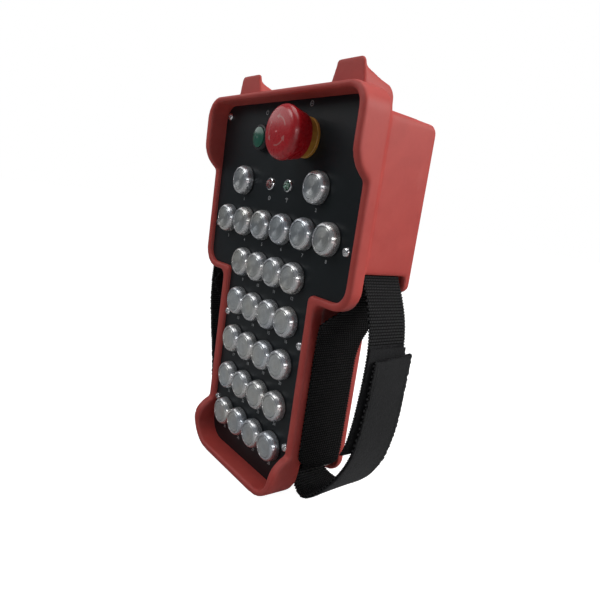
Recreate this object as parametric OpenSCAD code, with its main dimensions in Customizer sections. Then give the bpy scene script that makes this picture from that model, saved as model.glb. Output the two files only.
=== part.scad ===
// Pendant control station: a hand-held push-button transmitter with a moulded
// housing, raised guards, an emergency stop and a webbing hand strap on each side.
// Millimetres. +Z is up, +X is to the right seen from the front, +Y points from
// the button face into the body. The origin is the middle of the housing's bottom
// edge, in the plane of the face plate.

/* [Housing] */
// Width across the shoulders
shoulder_w = 188.4; // [185:0.2:192]
// Width of the grip below the shoulders
grip_w = 121.6; // [120.4:0.2:124]
// Height of the housing, without the two horns
housing_h = 281.8; // [281:0.2:290]
// Height of the underside of the shoulders' front frame
shoulder_z = 145.6; // [142:0.2:147]
// Depth from the face plate to the flat back
body_depth = 50.5; // [48:0.5:60]
// How far the top guard stands in front of the face plate
guard_top = 15.2; // [10:0.2:20]
// How far the bottom guard stands in front of the face plate
guard_low = 16; // [10:0.2:20]
// How far the low rim stands in front of the face plate
lip_h = 3.2; // [1:0.1:4]
// Depth of the front frame behind the face plate
frame_d = 6.8; // [6.4:0.1:8]

/* [Horns] */
// How far the horns rise above the box behind the frame
horn_rise = 30.2; // [24:0.2:34]
// Depth of a horn, front to back
horn_d = 28.8; // [27:0.2:34]

/* [Face plate] */
// Thickness of the face plate
plate_t = 2; // [1.6:0.1:2.4]
// Thickness of the rubber gasket under the plate
gasket_t = 0.8; // [0.4:0.1:1]

/* [Push buttons] */
// Height of a button bezel over the face plate
bezel_h = 7.2; // [5:0.1:8]
// Radius of a bezel where it meets the plate
bezel_r = 11; // [9:0.1:11]
// Radius of a button cap
cap_r = 7.8; // [6:0.1:8]
// Distance between rows of buttons
row_pitch = 31.16; // [31:0.02:31.2]
// Distance between buttons in the row of six
six_pitch = 25.4; // [24.6:0.1:25.6]
// Distance between buttons in a row of four
four_pitch = 22.2; // [22:0.1:22.6]

/* [Emergency stop] */
// Radius of the mushroom head
head_r = 17.8; // [16:0.1:19]
// How far the head stands in front of the face plate
head_h = 25.6; // [23:0.1:27]

/* [Hand straps] */
// Width of the webbing
web_w = 32; // [28:0.5:34]
// Thickness of the webbing
web_t = 2; // [1.6:0.1:2.1]
// Where the webbing's front edge lies beside the grip, behind the face plate's surface
web_front = 3.2; // [2:0.2:8]

/* [Hidden] */
$fn = 64;

// Places in the face are [x, z]. This gives each one on the left, then on the right.
function both_sides(points) = [for (s = [-1, 1]) for (p = points) [s * p[0], p[1]]];

// Housing. Names ending in _x are half widths.
shoulder_x = shoulder_w / 2;
grip_x = grip_w / 2;
box_x = shoulder_x - 2;
box_top = housing_h - 12.1;
box_bottom = 171;
grip_box_x = grip_x - 1.9;
inner_y = body_depth - 4.8; // inner face of the back wall
ear_y = 44.8;               // front face of the ears behind the straps

// Face plate, in a recess whose ledge carries the gasket.
plate_x = shoulder_x - 6.3;
plate_grip_x = grip_x - 7.9;
plate_top = housing_h - 4.2;
plate_neck = shoulder_z + 5.2;
plate_bottom = 5.2;
plate_play = 0.15;
ledge_y = plate_t + gasket_t;
FACE_SCREWS = both_sides([[81.3, 269.2], [81.3, 183.6], [49.6, 113.8], [49.6, 39.1]]);

// Buttons, from the top row down and from left to right.
row4_z = 126.55;
function row_z(row) = row4_z + row_pitch * (4 - row);
function button_row(row, count, pitch) =
  [for (i = [0:count - 1]) [(i - (count - 1) / 2) * pitch, row_z(row)]];
BUTTONS = concat(
  both_sides([[45.8, row_z(1)]]),
  button_row(2, 6, six_pitch),
  [for (row = [3:7]) for (p = button_row(row, 4, four_pitch)) p]);
bezel_edge_r = 2.7; // round of a bezel's front edge
shank_r = 7.85;
shank_end = 12;     // back end of the shanks, where the switches start
stem_r = 3;
stem_end = 10;

// Other controls.
control_z = 252;
stop_at = [25.4, control_z];
stop_shank_r = 10.2;
plunger_r = 5;
plunger_h = 18.1; // how far the plunger stands in front of the plate
head_edge_r = 5;
dome_r = 70;      // round of the head's face
// Height of the edge round's centre, where the round meets the dome tangentially.
head_edge_h = head_h - dome_r + sqrt(pow(dome_r - head_edge_r, 2) - pow(head_r - head_edge_r, 2));
stop_block_y = 14;
power_at = [-27.5, control_z];
power_shank_r = 8;
power_stem_r = 2.5;
LEDS = both_sides([[11.1, 219.3]]);
led_shank_r = 3.9;
lens_r = 3.4;
hole_play = 0.1;

// Circuit board.
board_y = 24.2;
board_back = board_y + 1.6;
STANDOFFS = both_sides([[40, 52], [40, 158], [64, 224]]);
antenna_x = 51;
antenna_r = 3;

// Battery door, in a stepped opening in the back wall.
door_w = 82;
door_h = 70;
door_z = 101;
door_t = 2;
door_seal_t = 0.6;
opening_half = 29;              // half the side of the square opening
rim_half = opening_half - 0.4;  // half the side of the door's rim
rim_wall = 2;
DOOR_SCREWS = both_sides([[36.5, door_z - 30], [36.5, door_z + 30]]);

// Hand straps: one bar in each shoulder, one at each side of the bottom.
bar_r = 2;
bar_top = [84, 178];
bar_bottom = [49, 18.5];
BARS = both_sides([bar_top, bar_bottom]);
web_y = frame_d + 2.5; // front edge of the webbing at full width

// A flat shape drawn in X and Z, given thickness from y0 to y1.
module slab(y0, y1)
  translate([0, y1, 0]) rotate([90, 0, 0]) linear_extrude(y1 - y0) children();
// A flat shape drawn in Y and Z, given thickness from x0 to x1.
module side_slab(x0, x1)
  translate([x0, 0, 0]) rotate([90, 0, 90]) linear_extrude(x1 - x0) children();
// A round bar along Y.
module rod(at, y0, y1, r, facets = 64)
  translate([at[0], y0, at[1]]) rotate([-90, 0, 0]) cylinder(h = y1 - y0, r = r, $fn = facets);
// A turned part on an axis along Y. The profile's x is the radius and its y is
// the distance in front of the plate.
module turned(at, facets = 64)
  translate([at[0], 0, at[1]]) rotate([90, 0, 0]) rotate_extrude($fn = facets) children();
// Rectangle about x = 0 with its own radius at the top and bottom corners.
module round_rect(half_w, z0, z1, r_top, r_bottom) {
  translate([-half_w, z0 + r_bottom]) square([2 * half_w, z1 - z0 - r_top - r_bottom]);
  translate([r_bottom - half_w, z0]) square([2 * (half_w - r_bottom), r_bottom + 0.01]);
  translate([r_top - half_w, z1 - r_top - 0.01]) square([2 * (half_w - r_top), r_top + 0.01]);
  for (x = [r_bottom - half_w, half_w - r_bottom]) translate([x, z0 + r_bottom]) circle(r_bottom);
  for (x = [r_top - half_w, half_w - r_top]) translate([x, z1 - r_top]) circle(r_top);
}
module door_rect(half_w, half_h, r) round_rect(half_w, door_z - half_h, door_z + half_h, r, r);
// T-shaped outline: wide shoulders over a narrower grip, with rounded corners and a
// filleted neck. z_neck is the underside of the shoulders.
module tee(wide_x, narrow_x, z_top, z_neck, z_bottom, r_top, r_shoulder, r_neck, r_bottom) {
  round_rect(wide_x, z_neck, z_top, r_top, r_shoulder);
  round_rect(narrow_x, z_bottom, z_neck + 30, 5, r_bottom);
  for (s = [0, 1]) mirror([s, 0]) difference() {
    translate([narrow_x - 0.01, z_neck - r_neck]) square([r_neck + 0.01, r_neck + 0.01]);
    translate([narrow_x + r_neck, z_neck - r_neck]) circle(r_neck);
  }
}
// Hexagon nut against the back of the face plate.
module nut(at, thick, r, bore_r) difference() {
  rod(at, plate_t, plate_t + thick, r, 6);
  rod(at, 0, plate_t + thick + 1, bore_r);
}

module frame_outline()
  tee(shoulder_x, grip_x, housing_h, shoulder_z, 0, 16, 17, 6, 26);
module plate_outline(grow = 0)
  tee(plate_x + grow, plate_grip_x + grow, plate_top + grow, plate_neck - grow,
    plate_bottom - grow, 11.5, 11.5, 4 - grow, 15);

// Shape that trims the frame to the low rim between the two guards.
module rim_cut() {
  reach = 60;
  top_r = 24.9; // round under the top guard, and its centre's height
  top_z = 247.9;
  low_r = 19.6; // round over the bottom guard, and its centre's height
  low_z = 17.6;
  side_slab(-150, 150) {
    translate([-reach, low_z + 19]) square([reach - lip_h, top_z - low_z - 40]);
    difference() {
      translate([-reach, top_z - 21.01]) square([reach - lip_h, 21.01]);
      translate([top_r - guard_top, top_z]) circle(top_r, $fn = 128);
    }
    translate([-reach, 200]) square([reach - guard_top, 100]);
    difference() {
      translate([-reach, low_z]) square([reach - lip_h, 19.01]);
      translate([low_r - guard_low, low_z]) circle(low_r, $fn = 128);
    }
  }
}
module horn() {
  top = box_top + horn_rise;
  base = box_top - 4;
  corner_r = 3.6;
  back_r = 9.1;
  intersection() {
    // Front profile: a tapered block with round top corners.
    slab(0, horn_d + 1) {
      polygon([[40.6, base], [41.4, top - 14], [44.6, top - corner_r],
        [70.6, top - corner_r], [73.4, top - 15], [73.8, base]]);
      translate([48, top - 4]) square([19, 4]);
      for (x = [48, 67.1]) translate([x, top - corner_r]) circle(corner_r);
    }
    // Side profile: a thin crest at the front, then a lower top that falls to the
    // back and ends in a large round.
    side_slab(35, 80) {
      polygon([[0, base], [0, top], [2.4, top], [3.1, top - 6.2],
        [horn_d - 10.9, top - 11.7], [horn_d - 10, top - 21],
        [horn_d - 1.7, top - 21], [horn_d - 0.2, base]]);
      translate([horn_d - 10.8, top - 20.8]) circle(back_r, $fn = 96);
    }
  }
}
module rear_boxes() {
  edge_r = 6.5;
  edge_y = body_depth - edge_r;
  edge_z = box_top - 8.4;
  // Shoulder box, whose top falls a little to a rounded back edge.
  intersection() {
    slab(frame_d - 0.01, body_depth) round_rect(box_x, box_bottom, box_top, 5, 3);
    side_slab(-100, 100) {
      polygon([[frame_d - 1, box_bottom - 5], [frame_d - 1, box_top + 0.1],
        [edge_y, box_top - 1.9], [edge_y, edge_z],
        [body_depth, edge_z], [body_depth, box_bottom - 5]]);
      translate([edge_y, edge_z]) circle(edge_r);
    }
  }
  // Grip box.
  slab(frame_d - 0.01, body_depth) round_rect(grip_box_x, 12, box_bottom + 10, 5, 14);
  // Ears of the back wall that reach down behind the straps.
  slab(ear_y, body_depth) round_rect(box_x, 160.2, box_top - 20, 5, 6);
}
module ledge_opening() slab(0, frame_d + 1) {
  round_rect(77.5, 176, box_top - 5.5, 8, 3);
  round_rect(44.9, 31, 182, 4, 4);
  round_rect(44.2, 17, 60, 4, 4);
  round_rect(53, 172, 182, 3, 3);
}
// Inside of both boxes, leaving the bosses for the door's screws.
module hollow() {
  slab(frame_d - 1, inner_y) round_rect(75.5, 175, 200, 3, 3);
  difference() {
    slab(frame_d, inner_y) {
      round_rect(box_x - 4, 189.5, box_top - 4.5, 4, 3);
      round_rect(53.5, 32.5, 180, 4, 4);
      round_rect(41.3, 16, 60, 4, 4);
    }
    for (p = DOOR_SCREWS) rod(p, inner_y - 4.2, inner_y + 1, 3.4, 48);
  }
}
module strap_pockets() {
  top_r = 5.7; // half width and end round of a shoulder pocket
  top_h = 9.5;
  low_w = 17.5;
  for (s = [-1, 1]) {
    slab(frame_d, ear_y) translate([s * 83.9, box_bottom]) {
      translate([-top_r, -1]) square([2 * top_r, top_h + 1]);
      translate([0, top_h]) circle(top_r);
    }
    slab(frame_d, ear_y) translate([s * 53.25 - low_w / 2, -2]) square([low_w, 30.5]);
  }
  for (p = BARS) rod(p, ledge_y + 0.8, 48, bar_r + 0.02, 48);
}
module door_opening() {
  slab(inner_y - 1, body_depth + 1) door_rect(opening_half, opening_half, 4);
  // Step for the door and its seal.
  slab(body_depth - door_t - door_seal_t, body_depth + 1)
    door_rect(door_w / 2 + 0.2, door_h / 2 + 0.2, 5);
  for (p = DOOR_SCREWS) rod(p, inner_y - 3, body_depth, 1.3, 32);
}
module housing() color([0.62, 0.16, 0.14]) difference() {
  union() {
    difference() {
      slab(-guard_low, frame_d) frame_outline();
      rim_cut();
    }
    rear_boxes();
    for (s = [0, 1]) mirror([s, 0, 0]) horn();
    // Moulded tab at the middle of the top edge.
    translate([-3.5, -6, housing_h - 1]) cube([7, 8, 2]);
  }
  // The underside rises behind the flat it stands on.
  side_slab(-100, 100) polygon([[1.4, -1], [1.4, 0], [frame_d + 0.4, 2.6],
    [frame_d + 4, 2.6], [frame_d + 4, -1]]);
  // Recess for the face plate and its gasket.
  slab(-guard_low - 5, ledge_y) plate_outline();
  ledge_opening();
  hollow();
  strap_pockets();
  // Holes for the face plate's screws.
  for (p = FACE_SCREWS) rod(p, 0, 6.4, 1.55, 32);
  door_opening();
}

module face_plate() color([0.05, 0.055, 0.06]) difference() {
  back = plate_t + 1;
  slab(0, plate_t) plate_outline(-plate_play);
  for (p = BUTTONS) rod(p, -1, back, shank_r + 0.15);
  rod(stop_at, -1, back, stop_shank_r + hole_play);
  rod(power_at, -1, back, power_shank_r + hole_play);
  for (p = LEDS) rod(p, -1, back, led_shank_r + hole_play);
  for (p = FACE_SCREWS) rod(p, -1, back, 1.6, 32);
}
module face_gasket() color([0.08, 0.08, 0.08]) difference() {
  slab(plate_t, ledge_y) plate_outline(-plate_play - 0.2);
  slab(0, ledge_y + 1) {
    round_rect(77, 190.5, box_top - 5.9, 8, 3);
    round_rect(44.9, 31.5, 200, 4, 4);
    round_rect(44, 17.5, 60, 4, 4);
    round_rect(75.3, 175.5, 200, 3, 3);
  }
  for (p = FACE_SCREWS) rod(p, 0, ledge_y + 1, 1.65, 32);
}
// Pan heads with a cross recess, on plain shanks.
module face_screws() color([0.7, 0.7, 0.72]) {
  r = 3; // of the head
  for (p = FACE_SCREWS) difference() {
    union() {
      turned(p, 48)
        polygon([[0, 0], [r, 0], [r, 0.8], [r * 0.86, 1.5], [r * 0.6, 1.95], [0, 2.1]]);
      rod(p, -0.01, 6.1, 1.45, 32);
    }
    for (a = [0, 90]) translate([p[0], -2.2, p[1]]) rotate([0, 20 + a, 0])
      translate([-r * 0.6, 0, -r * 0.11]) cube([r * 1.2, 1.3, r * 0.22]);
  }
}

// Cap with a shallow dished face and the stem that works the switch.
module cap(number) color([0.72, 0.73, 0.74]) {
  at = BUTTONS[number - 1];
  front = bezel_h - 0.15;
  dish_r = 39.1;
  dish_depth = 0.5; // below the bezel's front
  difference() {
    union() {
      turned(at) polygon([[0, bezel_h - 2.2], [cap_r, bezel_h - 2.2],
        [cap_r, bezel_h - 0.5], [cap_r - 0.4, front], [0, front]]);
      rod(at, -bezel_h + 2.1, stem_end, stem_r, 48);
    }
    translate([at[0], -bezel_h - dish_r + dish_depth, at[1]]) sphere(dish_r, $fn = 128);
  }
}
module button_01() cap(1);
module button_02() cap(2);
module button_03() cap(3);
module button_04() cap(4);
module button_05() cap(5);
module button_06() cap(6);
module button_07() cap(7);
module button_08() cap(8);
module button_09() cap(9);
module button_10() cap(10);
module button_11() cap(11);
module button_12() cap(12);
module button_13() cap(13);
module button_14() cap(14);
module button_15() cap(15);
module button_16() cap(16);
module button_17() cap(17);
module button_18() cap(18);
module button_19() cap(19);
module button_20() cap(20);
module button_21() cap(21);
module button_22() cap(22);
module button_23() cap(23);
module button_24() cap(24);
module button_25() cap(25);
module button_26() cap(26);
module button_27() cap(27);
module button_28() cap(28);

// Half section of a bezel in front of its seal, with a rounded front edge.
module bezel_profile() {
  edge_x = bezel_r - bezel_edge_r;
  edge_h = bezel_h - bezel_edge_r;
  translate([0, 0.6]) square([bezel_r, edge_h - 0.6]);
  translate([0, edge_h - 0.01]) square([edge_x, bezel_edge_r + 0.01]);
  intersection() {
    translate([edge_x, edge_h]) circle(bezel_edge_r, $fn = 128);
    square([bezel_r, bezel_h]);
  }
}
module button_bezels() color([0.75, 0.75, 0.76]) for (p = BUTTONS) difference() {
  union() {
    turned(p) bezel_profile();
    rod(p, -1, shank_end, shank_r);
  }
  // Well for the cap, and the stem's guide bore.
  rod(p, -bezel_h - 1, -2.5, cap_r + 0.2);
  rod(p, -3, shank_end + 1, stem_r + 0.06, 48);
}
module button_seals() color([0.06, 0.06, 0.06]) for (p = BUTTONS) difference() {
  rod(p, -0.6, 0, bezel_r);
  rod(p, -1, 1, shank_r + 0.1);
}
module button_nuts() color([0.7, 0.7, 0.68])
  for (p = BUTTONS) nut(p, thick = 3, r = 10.6, bore_r = shank_r + 0.05);
// Round switches with two terminals each, and a pocket for the stem.
module switch_bodies() color([0.1, 0.1, 0.11]) for (p = BUTTONS) difference() {
  union() {
    rod(p, shank_end, 20.5, 7.6);
    for (s = [-1, 1]) translate([p[0] + s * 3 - 0.4, 20, p[1] - 1.2]) cube([0.8, 4, 2.4]);
  }
  rod(p, shank_end - 1, 14, stem_r + 0.3, 48);
}

// Mushroom head: slightly domed face, rounded edge, sides that taper to a skirt over
// the collar.
module estop_head() color([0.75, 0.07, 0.08]) difference() {
  edge_x = head_r - head_edge_r;
  edge_top = head_edge_h + head_edge_r;
  turned(stop_at, 96) difference() {
    union() {
      polygon([[0, 7.8], [15.2, 7.8], [head_r - 0.3, head_edge_h - 1.3],
        [head_r, head_edge_h], [edge_x, edge_top - 0.2], [0, edge_top - 0.2]]);
      intersection() {
        translate([edge_x, head_edge_h]) circle(head_edge_r, $fn = 96);
        square([40, 40]);
      }
      intersection() {
        translate([0, head_h - dome_r]) circle(dome_r, $fn = 360);
        translate([0, edge_top - 0.3]) square([edge_x * dome_r / (dome_r - head_edge_r), 3]);
      }
    }
    // Hollow over the collar.
    square([13.9, 14.2]);
  }
  rod(stop_at, -plunger_h - 0.1, 0, plunger_r + 0.05);
}
module estop_plunger() color([0.2, 0.2, 0.22]) {
  rod(stop_at, -plunger_h, 13.6, plunger_r);
  rod(stop_at, 5.2, 7.2, 6.4);
}
module estop_collar() color([0.85, 0.6, 0.1]) difference() {
  union() {
    turned(stop_at, 96)
      polygon([[0, 0], [13.5, 0], [13.5, 1.6], [13.1, 2], [13.3, 8.4], [12.8, 8.9], [0, 8.9]]);
    rod(stop_at, -1, stop_block_y, stop_shank_r);
  }
  rod(stop_at, -10, 15, plunger_r + 0.1);
  // Wider bore around the plunger's flange.
  rod(stop_at, 5.1, 15, 6.8);
}
module estop_nut() color([0.35, 0.35, 0.36])
  nut(stop_at, thick = 4, r = 13.4, bore_r = stop_shank_r + 0.05);
module estop_block() color([0.12, 0.12, 0.13]) difference() {
  union() {
    translate([stop_at[0] - 15, stop_block_y, stop_at[1] - 13]) cube([30, 24, 25]);
    // Row of four small blocks on the back.
    for (x = [-10, -3.3, 3.3, 10])
      translate([stop_at[0] + x - 1.5, 37, stop_at[1] - 10]) cube([3, 4, 5]);
  }
  rod(stop_at, stop_block_y - 1, 20, 7);
}

// Button with a slightly domed face, on a stem.
module power_button() color([0.1, 0.38, 0.27]) {
  dome = 29.4;
  face_h = 3.2; // from the button's back to the top of its dome
  turned(power_at) translate([0, 3.4]) intersection() {
    square([7.3, 4]);
    translate([0, face_h - dome]) circle(dome, $fn = 180);
  }
  rod(power_at, -4, stem_end, power_stem_r, 48);
}
module power_bezel() color([0.07, 0.07, 0.07]) difference() {
  union() {
    turned(power_at) polygon([[0, 0], [9.6, 0], [9.6, 3.6], [9.1, 4.6], [8.2, 5], [0, 5]]);
    rod(power_at, -1, shank_end, power_shank_r);
  }
  rod(power_at, -8, -1.2, 7.5);
  rod(power_at, -3, shank_end + 1, power_stem_r + 0.06, 48);
}
// The nut on the bezel's shank, and the switch behind it.
module power_switch() color([0.1, 0.1, 0.11]) {
  nut(power_at, thick = 3, r = 11, bore_r = power_shank_r + 0.05);
  difference() {
    translate([power_at[0] - 8, shank_end, power_at[1] - 9]) cube([16, 14, 18]);
    rod(power_at, shank_end - 1, 14, power_stem_r + 0.3, 48);
  }
}
module led_bezels() color([0.8, 0.8, 0.82]) for (p = LEDS) difference() {
  union() {
    turned(p, 48) polygon([[0, 0], [4.6, 0], [4.6, 0.6], [4.4, 1.1], [4, 1.4], [0, 1.4]]);
    rod(p, -1, 7, led_shank_r, 48);
  }
  rod(p, -3, 8, lens_r + 0.05, 48);
}
// Round lens with a domed front.
module lens(at) turned(at, 48) {
  translate([0, -12]) square([lens_r, 12.5]);
  translate([0, 0.4]) intersection() {
    circle(lens_r, $fn = 64);
    square(5);
  }
}
module led_red() color([0.7, 0.1, 0.08]) lens(LEDS[0]);
module led_green() color([0.1, 0.5, 0.2]) lens(LEDS[1]);

module control_board() color([0.05, 0.3, 0.16]) difference() {
  slab(board_y, board_back) {
    round_rect(45, 36, 182, 3, 3);
    round_rect(72, 178, 232, 3, 3);
  }
  for (p = STANDOFFS) rod(p, 20, 30, 1.6, 32);
}
// Hexagon posts behind the board, with a round head in front of it.
module board_standoffs() color([0.75, 0.62, 0.3]) for (p = STANDOFFS) {
  rod(p, board_back, inner_y, 3, 6);
  rod(p, 23, board_y, 2.8, 48);
  rod(p, board_y, board_back, 1.5, 32);
}
module radio_module() color([0.72, 0.73, 0.74]) {
  translate([24, board_back, 186]) cube([36, 4.2, 26]);
  // Small block below the antenna's axis.
  translate([antenna_x - 3, board_back, 212.2]) cube([6, 3, 5]);
}
module antenna() color([0.08, 0.08, 0.08]) translate([antenna_x, 31.9, 0]) {
  translate([0, 0, 213.5]) cylinder(h = 34, r = antenna_r);
  translate([0, 0, 247]) cylinder(h = 8, r1 = antenna_r, r2 = 2);
}

// Tray that is open to the back.
module battery_holder() color([0.1, 0.1, 0.1]) difference() {
  inner_half = rim_half - rim_wall;
  translate([-32, 27, door_z - rim_half]) cube([64, 17.6, 2 * rim_half]);
  translate([-30, 28.8, door_z - inner_half]) cube([60, 20, 2 * inner_half]);
}
module battery_cells() color([0.75, 0.6, 0.25])
  for (i = [0:3]) translate([(i - 1.5) * 14.8, 36.2, door_z - 25.2]) {
    cylinder(h = 49.4, r = 7.2);
    translate([0, 0, 49.3]) cylinder(h = 1.1, r = 2.7, $fn = 32);
  }
module battery_door() color([0.09, 0.09, 0.1]) difference() {
  union() {
    slab(body_depth - door_t, body_depth) door_rect(door_w / 2, door_h / 2, 5);
    slab(inner_y - 0.2, body_depth - door_t + 0.1) difference() {
      door_rect(rim_half, rim_half, 4);
      door_rect(rim_half - rim_wall, rim_half - rim_wall, 3);
    }
  }
  // Screw holes, with counterbores for the heads.
  for (p = DOOR_SCREWS) {
    rod(p, body_depth - 3, body_depth + 1, 1.5, 32);
    rod(p, body_depth - 1.3, body_depth + 1, 2.7, 32);
  }
  // Finger grooves.
  for (i = [-3:3]) slab(body_depth - 0.6, body_depth + 1)
    translate([-14, door_z + i * 4 - 0.8]) square([28, 1.6]);
}
module door_seal() color([0.2, 0.2, 0.2]) difference() {
  slab(body_depth - door_t - door_seal_t, body_depth - door_t)
    door_rect(door_w / 2 - 0.4, door_h / 2 - 0.4, 5);
  slab(40, 60) door_rect(opening_half, opening_half, 4);
  for (p = DOOR_SCREWS) rod(p, 40, 60, 1.6, 32);
}
module door_screws() color([0.7, 0.7, 0.72]) for (p = DOOR_SCREWS) difference() {
  union() {
    rod(p, inner_y - 2.5, body_depth - 1.2, 1.2, 32);
    rod(p, body_depth - 1.3, body_depth - 0.1, 2.5, 48);
  }
  for (a = [0, 90]) translate([p[0], body_depth - 0.8, p[1]]) rotate([0, a, 0])
    translate([-1.5, 0, -0.3]) cube([3, 2, 0.6]);
}

// Strap paths, as [x, z] points of the webbing's middle line on the right-hand side.
function arc(centre, a0, a1, steps) = [for (i = [0:steps])
  let (a = a0 + (a1 - a0) * i / steps) centre + bend_r * [cos(a), sin(a)]];
bend_r = bar_r + 0.25 + web_t / 2;
// Over the shoulder bar, down beside the grip and round the bottom bar.
BAR_TO_BAR = concat(
  [[88.1, 172]],
  arc(bar_top, -4, 184, 6),
  [[80, 170], [79, 157], [76, 144], [70.6, 130.5], [65.2, 120], [62.4, 108.5],
    [62.1, 96], [62.1, 66], [62.1, 42], [61.5, 31], [57.4, 23.6], [52.4, 22]],
  arc(bar_bottom, 92, 264, 6));
// Each starts at the loose inner end and goes up to the shoulder bar. After the
// bottom bar it goes back up the outside as the flap.
RIGHT = concat(
  [[94.6, 53.6], [96.6, 58], [98.9, 66], [101.2, 80], [102.4, 92], [103.6, 107],
    [103.6, 128], [100.4, 145], [94.6, 159], [90.4, 166.4]],
  BAR_TO_BAR,
  [[53.2, 12.6], [57.2, 8.4], [62.6, 7.0], [69.2, 10], [78.2, 18.2], [91, 32],
    [98.9, 45], [104.7, 60.4], [107.2, 82], [107.8, 104], [107.6, 122.6]]);
LEFT = concat(
  [[76.6, 44], [80.2, 58], [85.0, 72], [91.6, 92], [97.6, 112], [100.4, 132],
    [99.2, 150], [94.4, 160], [90.2, 166.4]],
  BAR_TO_BAR,
  [[53.6, 13.2], [58.4, 12.0], [64.8, 15.6], [73.0, 26], [80.0, 41], [83.8, 56],
    [88.6, 70.6], [95.4, 91], [101.4, 111], [103.6, 127]]);
// Catmull-Rom curve from p1 (t = 0) to p2 (t = 1).
function spline(p0, p1, p2, p3, t) = 0.5 * (2 * p1 + (p2 - p0) * t
  + (2 * p0 - 5 * p1 + 4 * p2 - p3) * t * t + (3 * p1 - p0 - 3 * p2 + p3) * t * t * t);
// The path with each span divided into steps along a smooth curve.
function smooth(path, steps) = let (last = len(path) - 1)
  [for (i = [0:last - 1]) for (k = [0:steps - 1])
    spline(path[max(i - 1, 0)], path[i], path[i + 1], path[min(i + 2, last)], k / steps),
  path[last]];
// The path moved sideways, to the left of its direction when the distance is positive.
function shifted(path, distance) = let (last = len(path) - 1) [for (i = [0:last])
  let (a = path[max(i - 1, 0)], b = path[min(i + 1, last)], t = (b - a) / norm(b - a))
    path[i] + distance * [-t[1], t[0]]];
function reversed(path) = [for (i = [len(path) - 1:-1:0]) path[i]];
module strip(path)
  polygon(concat(shifted(path, web_t / 2), reversed(shifted(path, -web_t / 2))));
module ribbon(path) {
  slab(web_y, web_y + web_w) strip(path);
  // Beside the grip the webbing spreads forward over the frame's side.
  slab(web_front, web_y + 1)
    strip([for (p = path) if (p[1] > 34 && p[1] < 136 && p[0] < 74.5) p]);
}
module strap_right() color([0.05, 0.05, 0.05]) ribbon(smooth(RIGHT, 3));
module strap_left() color([0.05, 0.05, 0.05]) mirror([1, 0, 0]) ribbon(smooth(LEFT, 3));
module strap_bars() color([0.6, 0.6, 0.62])
  for (p = BARS) rod(p, ledge_y + 0.9, 47.9, bar_r, 48);

housing();
face_plate();
face_gasket();
face_screws();
button_01();
button_02();
button_03();
button_04();
button_05();
button_06();
button_07();
button_08();
button_09();
button_10();
button_11();
button_12();
button_13();
button_14();
button_15();
button_16();
button_17();
button_18();
button_19();
button_20();
button_21();
button_22();
button_23();
button_24();
button_25();
button_26();
button_27();
button_28();
button_bezels();
button_seals();
button_nuts();
switch_bodies();
estop_head();
estop_plunger();
estop_collar();
estop_nut();
estop_block();
power_button();
power_bezel();
power_switch();
led_bezels();
led_red();
led_green();
control_board();
board_standoffs();
radio_module();
antenna();
battery_holder();
battery_cells();
battery_door();
door_seal();
door_screws();
strap_right();
strap_left();
strap_bars();
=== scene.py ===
"""A red-cased control station with 28 metal buttons, an emergency stop, a power button, lamps
and a webbing strap on each side.

It stands upright on z = 0. The face plate's surface is y = 0 and looks toward -Y, so front is
-Y and back is +Y. Right is +X. Lengths are in mm unless a comment says metres; shader
distances and scales, the lights and the camera are in metres.
"""
import math
from collections import namedtuple

import bmesh
import bpy
import numpy as np
from mathutils import Matrix, Vector


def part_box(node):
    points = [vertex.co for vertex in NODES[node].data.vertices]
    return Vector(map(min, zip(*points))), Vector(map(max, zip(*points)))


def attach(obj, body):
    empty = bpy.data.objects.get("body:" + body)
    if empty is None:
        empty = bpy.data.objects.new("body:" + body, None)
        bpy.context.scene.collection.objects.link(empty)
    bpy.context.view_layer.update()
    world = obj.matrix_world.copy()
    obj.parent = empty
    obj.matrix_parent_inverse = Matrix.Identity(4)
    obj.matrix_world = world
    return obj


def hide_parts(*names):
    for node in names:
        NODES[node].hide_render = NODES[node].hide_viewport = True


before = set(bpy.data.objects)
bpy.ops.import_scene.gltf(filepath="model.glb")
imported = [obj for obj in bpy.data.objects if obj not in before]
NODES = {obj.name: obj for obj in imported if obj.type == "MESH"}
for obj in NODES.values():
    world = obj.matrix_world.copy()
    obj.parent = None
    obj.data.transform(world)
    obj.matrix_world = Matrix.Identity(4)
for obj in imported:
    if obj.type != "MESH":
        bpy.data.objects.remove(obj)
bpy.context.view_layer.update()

MM = 0.001  # metres in a millimetre
ROOT = "station"
BUTTONS = ["button_%02d" % k for k in range(1, 29)]
RIB = 1.9  # spacing of the webbing's ribs along the strap
YARN = 1.45  # spacing of its yarns across the strap
UV_UNIT = 10.0  # mm in one unit of the weave's UV map
scene = bpy.context.scene


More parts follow.
